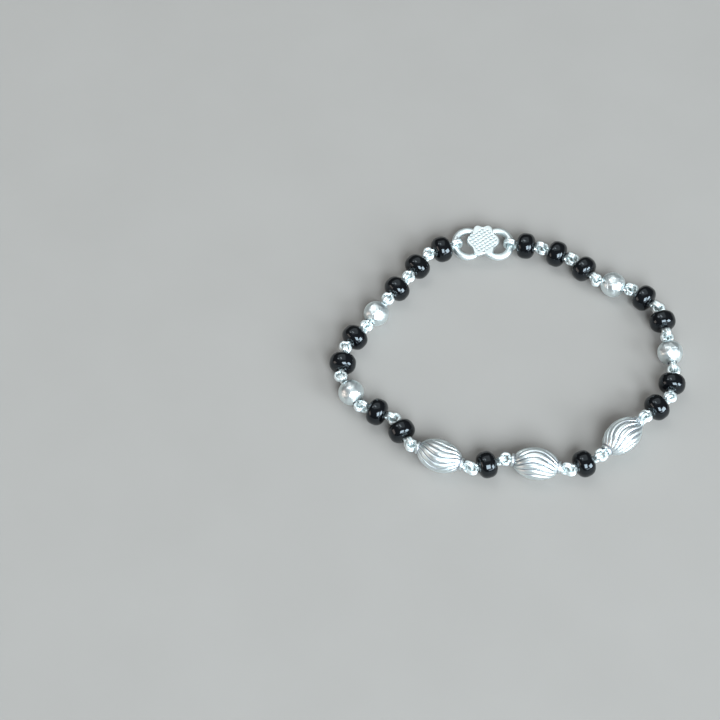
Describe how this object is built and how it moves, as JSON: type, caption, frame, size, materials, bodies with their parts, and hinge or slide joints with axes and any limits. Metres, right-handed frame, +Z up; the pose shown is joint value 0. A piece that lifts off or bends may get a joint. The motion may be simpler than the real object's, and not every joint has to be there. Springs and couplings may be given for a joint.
{
  "type": "beaded bracelet",
  "caption": "Child's bracelet of black glass beads, silver balls and fluted oval silver beads on hooked wire links, closed by a flat silver S hook with a pitted plate.",
  "frame": {"origin": "middle of the ring's outline, on the surface that it lies on", "axes": "+Z up, +Y towards the clasp, +X along the clasp, to the right as the clasp's plate is seen from above"},
  "size_m": [0.0546, 0.0442, 0.0048],
  "materials": {
    "black_glass": "glossy opaque black pressed glass",
    "ball_silver": "polished silver, lightly handled",
    "fluted_silver": "polished silver with darker grooves",
    "wire_silver": "drawn silver wire, bright with faint draw lines",
    "clasp_silver": "polished silver, darker in the pits"
  },
  "bodies": {
    "root": {"black_bead_01": "black_glass", "black_bead_02": "black_glass", "black_bead_03": "black_glass", "black_bead_04": "black_glass", "black_bead_05": "black_glass", "black_bead_06": "black_glass", "black_bead_07": "black_glass", "black_bead_08": "black_glass", "black_bead_09": "black_glass", "black_bead_10": "black_glass", "black_bead_11": "black_glass", "black_bead_12": "black_glass", "black_bead_13": "black_glass", "black_bead_14": "black_glass", "black_bead_15": "black_glass", "black_bead_16": "black_glass", "silver_ball_1": "ball_silver", "silver_ball_2": "ball_silver", "silver_ball_3": "ball_silver", "silver_ball_4": "ball_silver", "fluted_bead_1": "fluted_silver", "fluted_bead_2": "fluted_silver", "fluted_bead_3": "fluted_silver", "wire_link_01": "wire_silver", "wire_link_02": "wire_silver", "wire_link_03": "wire_silver", "wire_link_04": "wire_silver", "wire_link_05": "wire_silver", "wire_link_06": "wire_silver", "wire_link_07": "wire_silver", "wire_link_08": "wire_silver", "wire_link_09": "wire_silver", "wire_link_10": "wire_silver", "wire_link_11": "wire_silver", "wire_link_12": "wire_silver", "wire_link_13": "wire_silver", "wire_link_14": "wire_silver", "wire_link_15": "wire_silver", "wire_link_16": "wire_silver", "wire_link_17": "wire_silver", "wire_link_18": "wire_silver", "wire_link_19": "wire_silver", "wire_link_20": "wire_silver", "wire_link_21": "wire_silver", "wire_link_22": "wire_silver", "wire_link_23": "wire_silver", "clasp": "clasp_silver"}
  },
  "joints": []
}
